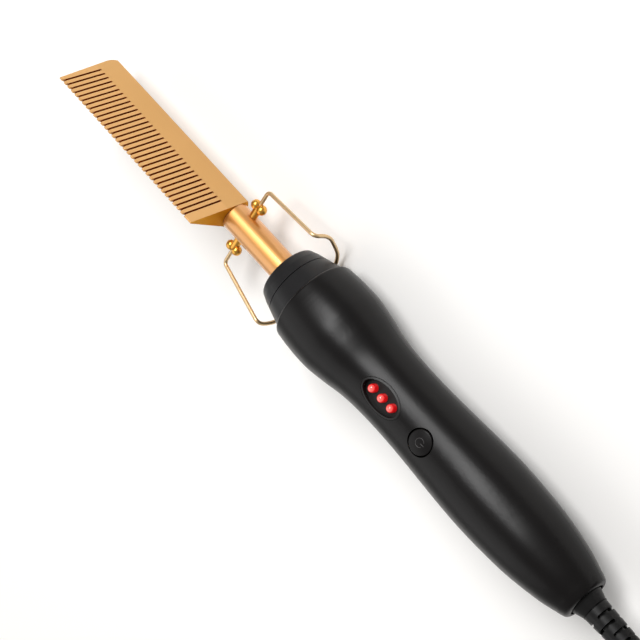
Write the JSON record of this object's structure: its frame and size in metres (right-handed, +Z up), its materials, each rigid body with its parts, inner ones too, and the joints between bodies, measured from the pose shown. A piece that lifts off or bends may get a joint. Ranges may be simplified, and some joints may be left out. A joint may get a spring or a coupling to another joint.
{
  "type": "electric hot comb",
  "caption": "Electric hair straightening comb: slotted metal comb, bulb handle with push button and red lamps, folding wire stand, swivelling mains cord.",
  "frame": {"origin": "on the surface the tool lies on, under the middle of the tool without its cord", "axes": "+X along the tool from the comb to the cord, +Y to the right side, +Z up to the teeth; the lamps and button stand 10 degrees to the right of that"},
  "size_m": [0.4628, 0.0745, 0.0454],
  "materials": {
    "comb_gold": "satin gold",
    "barrel_gold": "polished gold",
    "wire_brass": "polished pale brass",
    "handle_black": "satin black moulding",
    "collar_black": "charcoal moulding",
    "bezel_black": "matte black moulding",
    "lamp_red": "glowing red lens",
    "ceramic_white": "fired ceramic",
    "steel": "zinc-plated steel",
    "contact_brass": "bright contact metal",
    "wire_sleeve": "glass-fibre sleeve",
    "board_green": "solder-masked board",
    "component_black": "moulded component",
    "capacitor_yellow": "film capacitor case",
    "terminal_grey": "terminal moulding",
    "bearing_white": "acetal",
    "cord_black": "matte cord sheath",
    "relief_black": "matte flexible moulding",
    "tie_black": "soft band",
    "pin_nickel": "nickel-plated pin"
  },
  "bodies": {
    "handle": {"comb_head": "comb_gold", "barrel_tube": "barrel_gold", "heater_rod": "ceramic_white", "heater_wires": "wire_sleeve", "thermal_fuse": "steel", "temperature_sensor": "wire_sleeve", "heat_spacer": "ceramic_white", "barrel_flange": "steel", "stand_stud_right": "wire_brass", "stand_stud_left": "wire_brass", "front_collar": "collar_black", "neck_ring": "collar_black", "upper_shell": "handle_black", "lower_shell": "handle_black", "handle_screws": "steel", "circuit_board": "board_green", "board_screws": "steel", "heater_terminal": "terminal_grey", "mains_terminal": "terminal_grey", "control_chip": "component_black", "triac": "component_black", "capacitor": "capacitor_yellow", "indicator_lamp_1": "lamp_red", "indicator_lamp_2": "lamp_red", "indicator_lamp_3": "lamp_red", "indicator_bezel": "bezel_black", "tact_switch": "component_black", "swivel_bearing": "bearing_white", "contact_brushes": "contact_brass", "brush_holder": "component_black", "mains_wires": "wire_sleeve", "cord_lead": "cord_black", "cord_coil": "cord_black", "cord_tie": "tie_black", "plug_lead": "cord_black", "plug_body": "cord_black", "plug_pins": "pin_nickel"},
    "stand": {"stand_wire": "wire_brass"},
    "button": {"power_button": "handle_black", "switch_plunger": "terminal_grey"},
    "swivel": {"swivel_boot": "collar_black", "contact_rings": "contact_brass", "cord_core": "cord_black", "strain_relief": "relief_black"}
  },
  "joints": [
    {"name": "stand_hinge", "type": "hinge", "parent": "handle", "child": "stand", "pos_m": [-0.07449, 0, 0.0192], "axis": [0, 1, 0], "range_deg": [0, 140]},
    {"name": "power_button", "type": "slide", "parent": "handle", "child": "button", "axis": [0, -0.1736, -0.9848], "range_m": [0, 0.0005], "stiffness_N_per_m": 600},
    {"name": "cord_swivel", "type": "hinge", "parent": "handle", "child": "swivel", "pos_m": [0.11551, 0, 0.0192], "axis": [1, 0, 0], "continuous": true}
  ]
}
